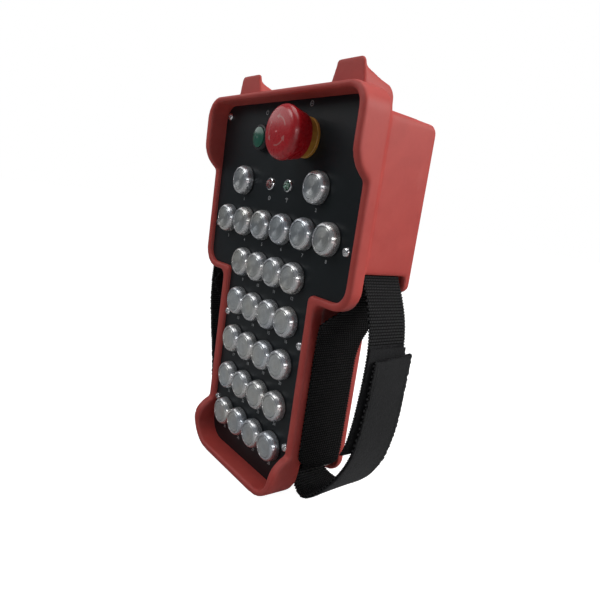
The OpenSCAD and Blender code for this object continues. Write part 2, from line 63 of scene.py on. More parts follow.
# ---------------------------------------------------------------- shader graph
class Graph:
    """Builds nodes and links in one shader tree."""

    def __init__(self, tree):
        self.tree = tree

    def put(self, socket, value):
        """Link an output to a socket, or set the socket's value."""
        if isinstance(value, bpy.types.NodeSocket):
            self.tree.links.new(value, socket)
        elif hasattr(value, "__len__"):
            is_rgb = len(value) == 3 and socket.type == "RGBA"
            socket.default_value = list(value) + [1.0] if is_rgb else list(value)
        else:
            socket.default_value = value

    def node(self, kind, **values):
        """Add a node. Each value sets the node's property or input of that name."""
        node = self.tree.nodes.new(kind)
        for key, value in values.items():
            if hasattr(node, key) and key not in node.inputs:
                setattr(node, key, value)
            else:
                self.put(node.inputs[key.replace("_", " ")], value)
        return node

    def math(self, operation, first, second=0.0, clamp=False):
        node = self.node("ShaderNodeMath", operation=operation, use_clamp=clamp)
        self.put(node.inputs[0], first)
        self.put(node.inputs[1], second)
        return node.outputs[0]

    def scaled(self, value, by, plus=None):
        product = self.math("MULTIPLY", value, by)
        return product if plus is None else self.math("ADD", product, plus)

    def vmath(self, operation, first, second=(0.0, 0.0, 0.0)):
        node = self.node("ShaderNodeVectorMath", operation=operation)
        self.put(node.inputs[0], first)
        self.put(node.inputs[1], second)
        return node.outputs["Value" if operation == "DOT_PRODUCT" else 0]

    def pos(self):
        return self.node("ShaderNodeTexCoord").outputs["Object"]

    def normal(self):
        return self.node("ShaderNodeNewGeometry").outputs["Normal"]

    def split(self, vector):
        """The x, y and z outputs of a vector or colour."""
        return self.node("ShaderNodeSeparateXYZ", Vector=vector).outputs

    def attribute(self, name, output="Fac", kind="GEOMETRY"):
        node = self.node("ShaderNodeAttribute", attribute_type=kind, attribute_name=name)
        return node.outputs[output]

    def camera_ray(self):
        return self.node("ShaderNodeLightPath").outputs["Is Camera Ray"]

    def noise(self, scale, detail=3.0, rough=0.5, vector=None):
        node = self.node("ShaderNodeTexNoise", Scale=scale, Detail=detail, Roughness=rough,
                         Vector=vector or self.pos())
        return node.outputs["Fac"]

    def noise_1d(self, value, scale, detail):
        node = self.node("ShaderNodeTexNoise", noise_dimensions="1D", Scale=scale,
                         Detail=detail, W=value)
        return node.outputs["Fac"]

    def ramp(self, value, start, end, low=0.0, high=1.0):
        """Go from low, at or below start, to high, at or above end."""
        node = self.node("ShaderNodeValToRGB")
        self.put(node.inputs[0], value)
        for stop, place, colour in zip(node.color_ramp.elements, (start, end), (low, high)):
            stop.position = place
            rgb = (colour,) * 3 if isinstance(colour, float) else colour
            stop.color = rgb + (1,)
        return node.outputs[0]

    def mix(self, factor, low, high):
        node = self.node("ShaderNodeMix", data_type="RGBA", Factor=factor)
        self.put(node.inputs[6], low)
        self.put(node.inputs[7], high)
        return node.outputs[2]

    def layer(self, base, colour, mask, amount=None):
        """Lay a colour over the base where the mask is high."""
        return self.mix(mask if amount is None else self.scaled(mask, by=amount), base, colour)

    def bump(self, height, distance, strength=1.0):
        node = self.node("ShaderNodeBump", Strength=strength, Distance=distance, Height=height)
        return node.outputs[0]

    def edges(self, radius):
        """0 on flat faces, rising at edges: how far the rounded normal turns."""
        rounded = self.node("ShaderNodeBevel", samples=6, Radius=radius).outputs[0]
        facing = self.vmath("DOT_PRODUCT", rounded, self.normal())
        return self.math("SUBTRACT", 1.0, facing, clamp=True)


class Material(Graph):
    def __init__(self, name):
        self.material = bpy.data.materials.new(name)
        self.material.use_nodes = True
        super().__init__(self.material.node_tree)
        self.bsdf = self.tree.nodes["Principled BSDF"]

    def finish(self, **inputs):
        """Set the surface's inputs and return the material."""
        for key, value in inputs.items():
            self.put(self.bsdf.inputs[key.replace("_", " ")], value)
        return self.material


def shade(colour, factor):
    return tuple(x * factor for x in colour)


# ---------------------------------------------------------------- materials
def red_moulding():
    mat = Material("red_moulding")
    medium = mat.noise(scale=95, detail=4, rough=0.62)
    stretched = mat.vmath("MULTIPLY", mat.pos(), (1.0, 1.0, 0.35))
    scuffs = mat.noise(scale=55, detail=6, rough=0.72, vector=stretched)
    grime = mat.noise(scale=34, detail=5, rough=0.6)
    base = mat.mix(mat.ramp(mat.noise(scale=16, detail=4, rough=0.6), start=0.3, end=0.7),
                   low=(0.440, 0.045, 0.036), high=(0.520, 0.062, 0.049))
    base = mat.layer(base, colour=(0.57, 0.090, 0.071),
                     mask=mat.ramp(medium, start=0.42, end=0.8, high=0.35))
    base = mat.layer(base, colour=(0.60, 0.14, 0.12),
                     mask=mat.ramp(scuffs, start=0.60, end=0.74), amount=0.22)
    base = mat.layer(base, colour=(0.26, 0.022, 0.019),
                     mask=mat.ramp(grime, start=0.55, end=0.8, high=0.4), amount=0.5)
    grain = mat.scaled(mat.noise(scale=1500, detail=2, rough=0.5), by=0.6)
    swell = mat.scaled(mat.noise(scale=260, detail=3, rough=0.5), by=0.5)
    return mat.finish(
        Base_Color=base, Roughness=mat.scaled(medium, by=0.16, plus=0.47),
        Normal=mat.bump(mat.math("ADD", grain, swell), distance=0.00012, strength=0.5),
        Specular_IOR_Level=0.40,
        Sheen_Weight=0.06, Sheen_Roughness=0.45, Sheen_Tint=(1.0, 0.72, 0.68),
        Subsurface_Weight=0.05, Subsurface_Radius=(0.0016, 0.0005, 0.0004),
        Subsurface_Scale=1.0)


def black_plate():
    mat = Material("black_plate")
    smudge = mat.noise(scale=22, detail=5, rough=0.6)
    specks = mat.noise(scale=900, detail=2, rough=0.5)
    base = mat.mix(mat.ramp(smudge, start=0.35, end=0.75),
                   low=(0.0048, 0.0078, 0.0094), high=(0.0080, 0.0122, 0.0146))
    base = mat.layer(base, colour=(0.045, 0.047, 0.05),
                     mask=mat.ramp(specks, start=0.70, end=0.76), amount=0.20)
    fine = mat.noise(scale=420, detail=4, rough=0.6)
    return mat.finish(Base_Color=base, Roughness=mat.scaled(smudge, by=0.20, plus=0.30),
                      Specular_IOR_Level=0.26,
                      Normal=mat.bump(fine, distance=0.00003, strength=0.5))


def plastic(name, dark, light, rough=0.5, grain=1100, depth=0.00006, spec=0.4):
    """Grained plastic or rubber, paler along its edges."""
    mat = Material(name)
    cloud = mat.noise(scale=60, detail=5, rough=0.6)
    edge = mat.math("MULTIPLY", mat.edges(radius=0.0004), 3.0, clamp=True)
    base = mat.layer(mat.mix(cloud, dark, light), mask=edge, amount=0.5,
                     colour=tuple(x * 1.9 + 0.02 for x in light))
    height = mat.noise(scale=grain, detail=2, rough=0.5)
    return mat.finish(Base_Color=base, Roughness=mat.scaled(cloud, by=0.18, plus=rough - 0.09),
                      Specular_IOR_Level=spec,
                      Normal=mat.bump(height, distance=depth, strength=0.6))


def gloss(name, dark, light, rough, coat):
    mat = Material(name)
    base = mat.mix(mat.noise(scale=140, detail=5, rough=0.65), dark, light)
    smears = mat.noise(scale=260, detail=5, rough=0.7)
    height = mat.noise(scale=700, detail=3, rough=0.5)
    return mat.finish(Base_Color=base, Roughness=mat.scaled(smears, by=0.16, plus=rough - 0.06),
                      Coat_Weight=coat, Coat_Roughness=0.12,
                      Normal=mat.bump(height, distance=0.00002, strength=0.4))


def turned_metal(name, dark, light, rough, per_object, rings, depth, wear, aniso, metallic):
    """Machined metal with circular lathe marks, so that highlights fan out across it.

    The marks circle each object's own cx, cz, or follow the mesh's lathe and around
    attributes. rings is a number per metre.
    """
    mat = Material(name)
    if per_object:
        position = mat.split(mat.pos())
        dx = mat.math("SUBTRACT", position[0], mat.attribute("cx", kind="OBJECT"))
        dz = mat.math("SUBTRACT", position[2], mat.attribute("cz", kind="OBJECT"))
        squares = [mat.math("MULTIPLY", side, side) for side in (dx, dz)]
        radius = mat.math("SQRT", mat.math("ADD", *squares))
        around = mat.node("ShaderNodeCombineXYZ", X=mat.scaled(dz, by=-1.0), Z=dx).outputs[0]
    else:
        radius = mat.attribute("lathe")
        around = mat.attribute("around", "Vector")
    across = mat.vmath("CROSS_PRODUCT", mat.normal(), mat.vmath("NORMALIZE", around))
    lines = mat.noise_1d(radius, scale=5200.0, detail=3.0)
    broad = mat.noise_1d(radius, scale=900.0, detail=2.0)
    cloud = mat.noise(scale=190, detail=4, rough=0.6)
    tint = mat.noise(scale=38, detail=3, rough=0.5)
    cool = (dark[0] * 0.92, dark[1], dark[2] * 1.10)
    warm = (light[0] * 1.02, light[1] * 0.97, light[2] * 0.86)
    base = mat.mix(mat.ramp(lines, start=0.35, end=0.65), dark, light)
    base = mat.layer(base, colour=shade(dark, 0.72),
                     mask=mat.ramp(broad, start=0.45, end=0.6), amount=0.35)
    base = mat.layer(base, cool, mask=mat.ramp(tint, start=0.36, end=0.5, low=0.5, high=0.0))
    base = mat.layer(base, warm, mask=mat.ramp(tint, start=0.52, end=0.66, high=0.45))
    base = mat.layer(base, colour=shade(dark, 0.6),
                     mask=mat.ramp(cloud, start=0.5, end=0.8), amount=wear)
    cloudy = mat.scaled(cloud, by=0.10, plus=rough - 0.10)
    wave = mat.math("SINE", mat.scaled(radius, by=rings * 2 * math.pi))
    height = mat.scaled(wave, by=0.3, plus=lines)
    return mat.finish(Base_Color=base, Metallic=metallic,
                      Roughness=mat.scaled(lines, by=0.10, plus=cloudy),
                      Normal=mat.bump(height, distance=depth, strength=0.6),
                      Anisotropic=aniso, Tangent=across)


def lamp_lens(name, dark, middle, painted_glint):
    """Moulded lens with small facets; pale facets and facet borders are painted glints."""
    mat = Material(name)
    facets = {"Scale": 760.0}
    cell = mat.node("ShaderNodeTexVoronoi", Vector=mat.pos(), **facets)
    random = mat.split(cell.outputs["Color"])
    border = mat.node("ShaderNodeTexVoronoi", feature="DISTANCE_TO_EDGE", Vector=mat.pos(),
                      **facets).outputs["Distance"]
    base = mat.mix(mat.ramp(random[0], start=0.2, end=0.6), dark, middle)
    # Painted glints: pale colour on some facets and, weaker, along the facet borders.
    base = mat.layer(base, painted_glint, mask=mat.ramp(random[1], start=0.74, end=0.80))
    base = mat.layer(base, painted_glint, amount=0.35,
                     mask=mat.ramp(border, start=0.0, end=0.10, low=1.0, high=0.0))
    smears = mat.noise(scale=500, detail=3, rough=0.6)
    height = mat.math("ADD", random[2], mat.scaled(border, by=2.0))
    return mat.finish(Base_Color=base, Roughness=mat.scaled(smears, by=0.12, plus=0.06),
                      Coat_Weight=0.4, Coat_Roughness=0.08,
                      Normal=mat.bump(height, distance=0.0004), Specular_IOR_Level=0.7)


def metal(name, dark, light, rough, wear=0.35):
    mat = Material(name)
    cloud = mat.noise(scale=240, detail=5, rough=0.65)
    spots = mat.noise(scale=700, detail=4, rough=0.6)
    base = mat.layer(mat.mix(cloud, dark, light), colour=shade(dark, 0.45),
                     mask=mat.ramp(spots, start=0.58, end=0.7), amount=wear)
    height = mat.noise(scale=1600, detail=3, rough=0.5)
    return mat.finish(Base_Color=base, Metallic=1.0,
                      Roughness=mat.scaled(cloud, by=0.2, plus=rough - 0.1),
                      Normal=mat.bump(height, distance=0.00001, strength=0.5))


def webbing():
    """Coarse woven strap: transverse ribs, yarns half a step apart in alternate ribs."""
    mat = Material("webbing")
    black = (0.0008, 0.0008, 0.0009)

    def ridge(steps, power):
        wave = mat.math("SINE", mat.scaled(steps, by=math.pi))
        return mat.math("POWER", mat.math("ABSOLUTE", wave), power)

    weave = mat.node("ShaderNodeUVMap", uv_map="weave").outputs[0]
    axes = mat.split(weave)
    ribs = mat.math("DIVIDE", axes[0], RIB / UV_UNIT)
    yarns = mat.math("DIVIDE", axes[1], YARN / UV_UNIT)
    yarns = mat.math("ADD", yarns, mat.scaled(mat.math("FLOOR", ribs), by=0.5))
    yarn_ridge = mat.scaled(ridge(yarns, power=0.8), by=0.94, plus=0.06)
    height = mat.math("MULTIPLY", ridge(ribs, power=0.6), yarn_ridge)
    fibre = mat.noise(scale=90.0, detail=4.0, rough=0.7,
                      vector=mat.vmath("MULTIPLY", weave, (1.0, 0.22, 1.0)))
    fuzz = mat.noise(scale=2400, detail=3, rough=0.6)
    # Painted light and shade: the yarn tops are drawn pale and the gaps between the yarns black;
    # the power keeps the pale colour to the tops of the yarns.
    base = mat.mix(mat.math("POWER", height, 1.8), low=black, high=(0.030, 0.031, 0.033))
    base = mat.layer(base, colour=(0.007, 0.007, 0.0075),
                     mask=mat.noise(scale=45, detail=4, rough=0.6), amount=0.5)
    base = mat.layer(base, colour=(0.05, 0.05, 0.052),
                     mask=mat.ramp(fuzz, start=0.62, end=0.72), amount=0.35)
    # Painted shade: the run against the grip is drawn blacker than the outer faces.
    painted_shade_colour = mat.mix(factor=0.72, low=base, high=black)
    base = mat.mix(mat.attribute("worn"), low=painted_shade_colour, high=base)
    relief = mat.math("ADD", height, mat.scaled(fibre, by=0.45))
    return mat.finish(Base_Color=base, Roughness=mat.scaled(height, by=-0.16, plus=0.80),
                      Specular_IOR_Level=mat.scaled(height, by=0.30),
                      Sheen_Weight=0.0, Sheen_Roughness=0.5,
                      Normal=mat.bump(relief, distance=0.0005))


def pile(name, dark, light):
    """Brushed loop fabric: a mat of fine curled fibres."""
    mat = Material(name)
    curls = mat.node("ShaderNodeTexVoronoi", Scale=1500.0, Vector=mat.pos()).outputs["Distance"]
    fibres = mat.scaled(mat.noise(scale=1700, detail=5, rough=0.75), by=0.8)
    tufts = mat.noise(scale=310, detail=4, rough=0.65)
    cloud = mat.noise(scale=40, detail=4, rough=0.6)
    height = mat.math("ADD", fibres, mat.scaled(curls, by=0.5))
    base = mat.mix(mat.ramp(height, start=0.35, end=0.85), dark, light)
    base = mat.layer(base, colour=shade(light, 0.6),
                     mask=mat.ramp(tufts, start=0.4, end=0.7), amount=0.4)
    base = mat.layer(base, colour=shade(light, 1.25),
                     mask=mat.ramp(cloud, start=0.45, end=0.75), amount=0.35)
    relief = mat.math("ADD", height, tufts)
    return mat.finish(Base_Color=base, Roughness=0.93, Specular_IOR_Level=0.15,
                      Sheen_Weight=0.08, Sheen_Roughness=0.6, Sheen_Tint=(0.9, 0.92, 0.95),
                      Normal=mat.bump(relief, distance=0.00035, strength=0.9))


def circuit():
    mat = Material("circuit_board")
    bricks = mat.node("ShaderNodeTexBrick", Scale=120.0, Vector=mat.pos()).outputs["Fac"]
    base = mat.mix(bricks, low=(0.008, 0.085, 0.035), high=(0.02, 0.14, 0.06))
    base = mat.layer(base, colour=(0.005, 0.05, 0.02),
                     mask=mat.noise(scale=90, detail=4, rough=0.6), amount=0.5)
    return mat.finish(Base_Color=base,
                      Roughness=mat.scaled(mat.noise(scale=200), by=0.2, plus=0.25),
                      Normal=mat.bump(bricks, distance=0.00004, strength=0.5))


def print_ink():
    mat = Material("print_ink")
    grain = mat.noise(scale=1300, detail=4, rough=0.7)
    base = mat.mix(mat.ramp(grain, start=0.3, end=0.7),
                   low=(0.48, 0.49, 0.50), high=(0.66, 0.67, 0.68))
    return mat.finish(Base_Color=base, Roughness=mat.scaled(grain, by=0.2, plus=0.4),
                      Normal=mat.bump(grain, distance=0.00001, strength=0.4))


MATERIALS = {
    "red": red_moulding(),
    "plate": black_plate(),
    "rubber": plastic("black_rubber", dark=(0.010, 0.010, 0.010), light=(0.020, 0.020, 0.021),
                      rough=0.75, grain=900, depth=0.0001, spec=0.3),
    "black": plastic("black_plastic", dark=(0.010, 0.010, 0.011), light=(0.022, 0.022, 0.024),
                     rough=0.46),
    "door": plastic("door_plastic", dark=(0.014, 0.014, 0.015), light=(0.028, 0.028, 0.030),
                    rough=0.52, grain=800, depth=0.00015),
    "screw": metal("bright_steel", dark=(0.66, 0.66, 0.67), light=(0.80, 0.80, 0.80),
                   rough=0.24),
    "plated": metal("plated_steel", dark=(0.46, 0.46, 0.44), light=(0.60, 0.60, 0.57),
                    rough=0.34),
    "tin": metal("tinned_can", dark=(0.58, 0.59, 0.60), light=(0.72, 0.72, 0.72), rough=0.38),
    "brass": metal("brass_standoff", dark=(0.56, 0.38, 0.13), light=(0.72, 0.52, 0.22),
                   rough=0.3),
    "bezel": turned_metal("polished_metal", dark=(0.56, 0.570, 0.580),
                          light=(0.74, 0.742, 0.745), rough=0.27, per_object=False,
                          rings=1500, depth=0.000004, wear=0.15, aniso=0.74, metallic=0.74),
    "cap": turned_metal("satin_metal", dark=(0.52, 0.54, 0.535), light=(0.68, 0.69, 0.68),
                        rough=0.30, per_object=True, rings=1900, depth=0.000014, wear=0.2,
                        aniso=0.85, metallic=0.88),
    "stop": gloss("stop_red", dark=(0.46, 0.008, 0.014), light=(0.52, 0.013, 0.020),
                  rough=0.26, coat=0.12),
    "amber": gloss("stop_amber", dark=(0.52, 0.24, 0.030), light=(0.64, 0.32, 0.055),
                   rough=0.36, coat=0.1),
    "green": gloss("power_green", dark=(0.006, 0.085, 0.052), light=(0.012, 0.14, 0.085),
                   rough=0.22, coat=0.4),
    "lens_red": lamp_lens("lens_red", dark=(0.045, 0.002, 0.003), middle=(0.22, 0.010, 0.012),
                          painted_glint=(0.60, 0.30, 0.28)),
    "lens_green": lamp_lens("lens_green", dark=(0.002, 0.030, 0.014),
                            middle=(0.008, 0.16, 0.055), painted_glint=(0.30, 0.55, 0.42)),
    "chrome": metal("lamp_chrome", dark=(0.72, 0.72, 0.73), light=(0.84, 0.84, 0.84),
                    rough=0.16, wear=0.15),
    "board": circuit(),
    "wrap": gloss("cell_wrap", dark=(0.42, 0.24, 0.04), light=(0.56, 0.34, 0.07),
                  rough=0.25, coat=0.3),
    "web": webbing(),
    "pile": pile("loop_pile", dark=(0.0025, 0.0025, 0.0028), light=(0.016, 0.0165, 0.0175)),
    "hook": pile("hook_tape", dark=(0.0026, 0.0026, 0.003), light=(0.012, 0.012, 0.013)),
    "thread": pile("thread", dark=(0.010, 0.010, 0.011), light=(0.045, 0.045, 0.047)),
    "ink": print_ink(),
    "arrow": gloss("stop_print", dark=(0.50, 0.13, 0.12), light=(0.62, 0.22, 0.20),
                   rough=0.3, coat=0.3),
}
PART_MATERIALS = {
    "housing": "red", "face_plate": "plate", "face_gasket": "rubber", "face_screws": "screw",
    "button_bezels": "bezel", "button_seals": "rubber", "button_nuts": "plated",
    "switch_bodies": "black", "estop_head": "stop", "estop_plunger": "plated",
    "estop_collar": "amber", "estop_nut": "black", "estop_block": "black",
    "power_button": "green", "power_bezel": "black", "power_switch": "black",
    "led_bezels": "chrome", "led_red": "lens_red", "led_green": "lens_green",
    "control_board": "board", "board_standoffs": "brass", "radio_module": "tin",
    "antenna": "rubber", "battery_holder": "black", "battery_cells": "wrap",
    "battery_door": "door", "door_seal": "rubber", "door_screws": "screw",
    "strap_bars": "plated", "strap_right": "web", "strap_left": "web",
    **dict.fromkeys(BUTTONS, "cap"),
}


def assign_materials():
    for name, part in NODES.items():
        part.data.materials.clear()
        part.data.materials.append(MATERIALS[PART_MATERIALS[name]])
        for face in part.data.polygons:
            face.material_index = 0


def find_button_centres():
    """Give each button its axis in metres, for its lathe marks. Return the (x, z) list in mm."""
    centres = []
    for name in BUTTONS:
        low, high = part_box(name)
        centre = (low + high) / 2
        centres.append((centre.x / MM, centre.z / MM))
        NODES[name]["cx"], NODES[name]["cz"] = float(centre.x), float(centre.z)
    return centres


assign_materials()
BUTTON_CENTRES = find_button_centres()


# ---------------------------------------------------------------- mesh helpers
def link(name, data):
    obj = bpy.data.objects.new(name, data)
    scene.collection.objects.link(obj)
    return obj


def finish_piece(piece, smooth, body=ROOT, replaces=()):
    """Shade smooth below an angle in degrees, and say what the piece rides on and replaces."""
    for face in piece.data.polygons:
        face.use_smooth = True
    if smooth < 180:
        piece.data.set_sharp_from_angle(angle=math.radians(smooth))
    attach(piece, body)
    if replaces:
        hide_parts(*replaces)


def add(name, verts, faces, material, smooth, body=ROOT, replaces=()):
    mesh = bpy.data.meshes.new(name)
    mesh.from_pydata([tuple(x * MM for x in vert) for vert in verts], [], faces)
    mesh.validate()
    mesh.materials.append(MATERIALS[material])
    piece = link(name, mesh)
    finish_piece(piece, smooth, body, replaces)
    return piece


def set_attribute(mesh, name, kind, field, values):
    attribute = mesh.attributes.new(name, kind, "POINT")
    attribute.data.foreach_set(field, np.array(values, np.float32).ravel())


def fix_normals(piece):
    work = bmesh.new()
    work.from_mesh(piece.data)
    bmesh.ops.recalc_face_normals(work, faces=work.faces)
    work.to_mesh(piece.data)
    work.free()


def evaluated_mesh(obj):
    """A new mesh of the object with its modifiers applied."""
    graph = bpy.context.evaluated_depsgraph_get()
    graph.update()
    return bpy.data.meshes.new_from_object(obj.evaluated_get(graph))


def grid_faces(rows, cols, base=0, flip=False):
    faces = []
    for i in range(rows - 1):
        for j in range(cols - 1):
            a = base + i * cols + j
            quad = (a, a + cols, a + cols + 1, a + 1)
            faces.append(quad[::-1] if flip else quad)
    return faces


def arc(centre, radius, start, end, steps):
    """Points along an arc, from one angle in degrees to another."""
    angles = [math.radians(start + (end - start) * i / steps) for i in range(steps + 1)]
    return [(centre[0] + radius * math.cos(a), centre[1] + radius * math.sin(a))
            for a in angles]


# ---------------------------------------------------------------- housing
MAX_TRIANGLES = 190000


def relax(mesh, rounds):
    """Move each vertex halfway to the mean of its neighbours, round after round."""
    co = np.empty(len(mesh.vertices) * 3, np.float32)
    mesh.vertices.foreach_get("co", co)
    co = co.reshape(-1, 3).astype(np.float64)
    edges = np.empty(len(mesh.edges) * 2, np.int32)
    mesh.edges.foreach_get("vertices", edges)
    one, other = edges.reshape(-1, 2).T
    count = len(co)
    neighbours = np.maximum(np.bincount(edges, minlength=count), 1).astype(float)
    for _ in range(rounds):
        total = np.stack([np.bincount(one, co[other, k], count)
                          + np.bincount(other, co[one, k], count) for k in range(3)], 1)
        co = co + (total / neighbours[:, None] - co) * 0.5
    mesh.vertices.foreach_set("co", co.astype(np.float32).ravel())
    mesh.update()


def add_moulding():
    """The housing as moulded: every edge rounded and every inside corner filleted."""
    mesh = NODES["housing"].data.copy()
    work = bmesh.new()
    work.from_mesh(mesh)
    bmesh.ops.remove_doubles(work, verts=work.verts, dist=2e-6)
    work.to_mesh(mesh)
    work.free()
    housing = link("housing_moulding", mesh)
    remesh = housing.modifiers.new("grid", "REMESH")
    remesh.mode = "VOXEL"
    remesh.voxel_size = 0.0011
    remesh.adaptivity = 0.0
    fine = evaluated_mesh(housing)
    housing.modifiers.clear()
    housing.data = fine
    relax(fine, rounds=7)
    triangles = len(fine.polygons) * 2
    if triangles > MAX_TRIANGLES:
        housing.modifiers.new("thin", "DECIMATE").ratio = MAX_TRIANGLES / triangles
        thin = evaluated_mesh(housing)
        housing.modifiers.clear()
        housing.data = thin
    housing.data.materials.clear()
    housing.data.materials.append(MATERIALS["red"])
    finish_piece(housing, smooth=180, replaces=("housing",))


add_moulding()


# ---------------------------------------------------------------- button bezels
def lathe(profile, centres, segments):
    """Rings about axes along Y, from a closed profile of (radius, y) points."""
    verts, faces = [], []
    size = len(profile)
    for x, z in centres:
        base = len(verts)
        for i in range(segments):
            angle = 2 * math.pi * i / segments
            for radius, y in profile:
                verts.append((x + radius * math.cos(angle), y, z + radius * math.sin(angle)))
        for i in range(segments):
            here, there = base + i * size, base + (i + 1) % segments * size
            for j in range(size):
                k = (j + 1) % size
                faces.append((here + j, here + k, there + k, there + j))
    return verts, faces


def add_bezels():
    """A straight barrel, a rounded front edge and a narrow flat lip round each cap."""
    low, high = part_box("button_bezels")
    cap_low, cap_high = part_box("button_01")
    outer = high.x / MM - max(x for x, z in BUTTON_CENTRES)
    top = -low.y / MM
    well = (cap_high.x - cap_low.x) / 2 / MM + 0.2  # radius of the hole round the cap
    bore, floor, barrel, end = 3.06, -2.5, 7.85, 12.0  # stem hole, well floor, barrel, its end
    round_in, round_back = 2.7, 4.4  # the front edge's rounding, along the radius and along Y
    profile = [  # (radius, y)
        (bore, end), (bore, floor), (well - 0.04, floor), (well - 0.04, -top + 0.4),
        (well - 0.01, -top + 0.14), (well + 0.07, -top + 0.02), (well + 0.16, -top),
    ]
    steps = 14
    for k in range(steps + 1):
        angle = math.radians(90 - 90 * k / steps)
        nudge = 0.01 if k == 0 else 0.0
        profile.append((outer - round_in + round_in * math.cos(angle) + nudge,
                        -(top - round_back) - round_back * math.sin(angle)))
    profile += [
        (outer, -2.6), (outer, -1.0), (outer - 0.02, -0.78), (outer - 0.1, -0.65),
        (outer - 0.28, -0.6), (barrel, -0.6), (barrel, end - 0.2), (7.6, end),
    ]
    segments = 72
    verts, faces = lathe(profile, BUTTON_CENTRES, segments)
    rings = add("bezel_rings", verts, faces, "bezel", smooth=40,
                replaces=("button_bezels",))
    # Radius less y, so that the marks also run down the sides.
    marks = [(radius - y) * MM for radius, y in profile]
    set_attribute(rings.data, "lathe", "FLOAT", "value",
                  np.tile(marks, segments * len(BUTTON_CENTRES)))
    offset = np.array(verts)
    offset[:, [0, 2]] -= np.repeat(BUTTON_CENTRES, segments * len(profile), axis=0)
    around = np.stack([-offset[:, 2], 0 * offset[:, 0], offset[:, 0]], 1)
    set_attribute(rings.data, "around", "FLOAT_VECTOR", "vector", around)
    fix_normals(rings)


add_bezels()


# ---------------------------------------------------------------- rounded edges on CAD parts
EDGE_WIDTHS = {  # metres
    "face_plate": 0.0003, "battery_door": 0.0004, "estop_block": 0.0005,
    "battery_holder": 0.0005, "power_bezel": 0.0002, "power_switch": 0.0004,
    "estop_nut": 0.0003, "radio_module": 0.0003, "led_bezels": 0.00015,
    "face_screws": 0.00006, "door_screws": 0.00006, "button_nuts": 0.0002,
    "estop_collar": 0.0002, "control_board": 0.0001,
}


def bevel(name, width, angle=35):
    """A small rounded edge, by a modifier that leaves the part's mesh alone."""
    edge = NODES[name].modifiers.new("edge", "BEVEL")
    edge.width = width
    edge.segments = 2
    edge.limit_method = "ANGLE"
    edge.angle_limit = math.radians(angle)
    edge.use_clamp_overlap = True
    edge.harden_normals = False
    edge.miter_outer = "MITER_ARC"


for button in BUTTONS:
    bevel(button, width=0.00034, angle=40)
for part_name, edge_width in EDGE_WIDTHS.items():
    bevel(part_name, edge_width)


# ---------------------------------------------------------------- printed numbers and symbols
PRINT_FRONT, PRINT_BACK = -0.045, 0.0  # y of the two faces of a drawn mark


def text_mesh(body, size):
    curve = bpy.data.curves.new("t", "FONT")
    curve.body = body
    curve.size = size * MM
    curve.align_x = curve.align_y = "CENTER"
    curve.extrude = 0.00002
    curve.offset = 0.00003
    text = link("t", curve)
    mesh = evaluated_mesh(text)
    bpy.data.objects.remove(text)
    return mesh


class Print:
    """Gathers flat marks, drawn in x and z, into one thin mesh."""

    def __init__(self):
        self.verts, self.faces = [], []

    def text(self, body, size, x, z):
        mesh = text_mesh(body, size)
        base = len(self.verts)
        for vert in mesh.vertices:
            across, up, out = vert.co / MM
            self.verts.append((across + x, -0.03 - out, up + z))
        for face in mesh.polygons:
            self.faces.append(tuple(base + i for i in face.vertices))

    def outline(self, inner, outer, closed=False):
        """The band between two lines with the same number of points."""
        base, count = len(self.verts), len(inner)
        for y in (PRINT_FRONT, PRINT_BACK):
            for pair in zip(inner, outer):
                self.verts += [(x, y, z) for x, z in pair]
        t = 2 * count  # from a front vertex to the back one behind it
        for i in range(count if closed else count - 1):
            j = (i + 1) % count
            a, b, c, d = base + 2 * i, base + 2 * i + 1, base + 2 * j + 1, base + 2 * j
            self.faces += [(a, b, c, d), (a + t, d + t, c + t, b + t),
                           (a, d, d + t, a + t), (b, b + t, c + t, c)]
        if not closed:
            for i in (0, count - 1):
                a, b = base + 2 * i, base + 2 * i + 1
                self.faces.append((a, b, b + t, a + t))

    def curve(self, x, z, radius, width, start, end, steps=40):
        inner, outer = (arc((x, z), radius + side * width / 2, start, end, steps)
                        for side in (-1, 1))
        self.outline(inner, outer)

    def bar(self, x, z, width, height):
        left, right = ([(x + side * width / 2, z - height / 2),
                        (x + side * width / 2, z + height / 2)] for side in (-1, 1))
        self.outline(left, right)

    def power_symbol(self, x, z, radius):
        line, gap = radius * 0.26, 32  # gap in degrees to each side of the top
        self.curve(x, z, radius, line, start=90 + gap, end=450 - gap)
        self.bar(x, z + radius * 0.75, line, radius * 1.1)

    def wave_symbol(self, x, z, radius):
        self.bar(x, z - radius * 0.55, radius * 0.28, radius * 0.9)
        for ratio in (0.55, 1.05, 1.55):
            self.curve(x, z - radius * 0.1, radius * ratio, radius * 0.22,
                       start=40, end=140, steps=16)


def add_plate_print():
    """Button numbers and symbols, with a barred octagon for the emergency stop."""
    marks = Print()
    for number, (x, z) in enumerate(BUTTON_CENTRES, 1):
        marks.text(str(number), size=3.4, x=x - 0.4, z=z - 14.4)
    marks.power_symbol(x=-11.1, z=209.2, radius=1.35)
    marks.wave_symbol(x=11.1, z=209.0, radius=1.25)
    marks.power_symbol(x=-27.5, z=270.5, radius=1.5)
    centre = (25.4, 274.2)
    inner, outer = (arc(centre, radius, 22.5, 337.5, 7) for radius in (1.5, 2.0))
    marks.outline(inner, outer, closed=True)
    marks.bar(*centre, width=1.7, height=0.5)
    fix_normals(add("plate_print", marks.verts, marks.faces, "ink",
                    smooth=30))


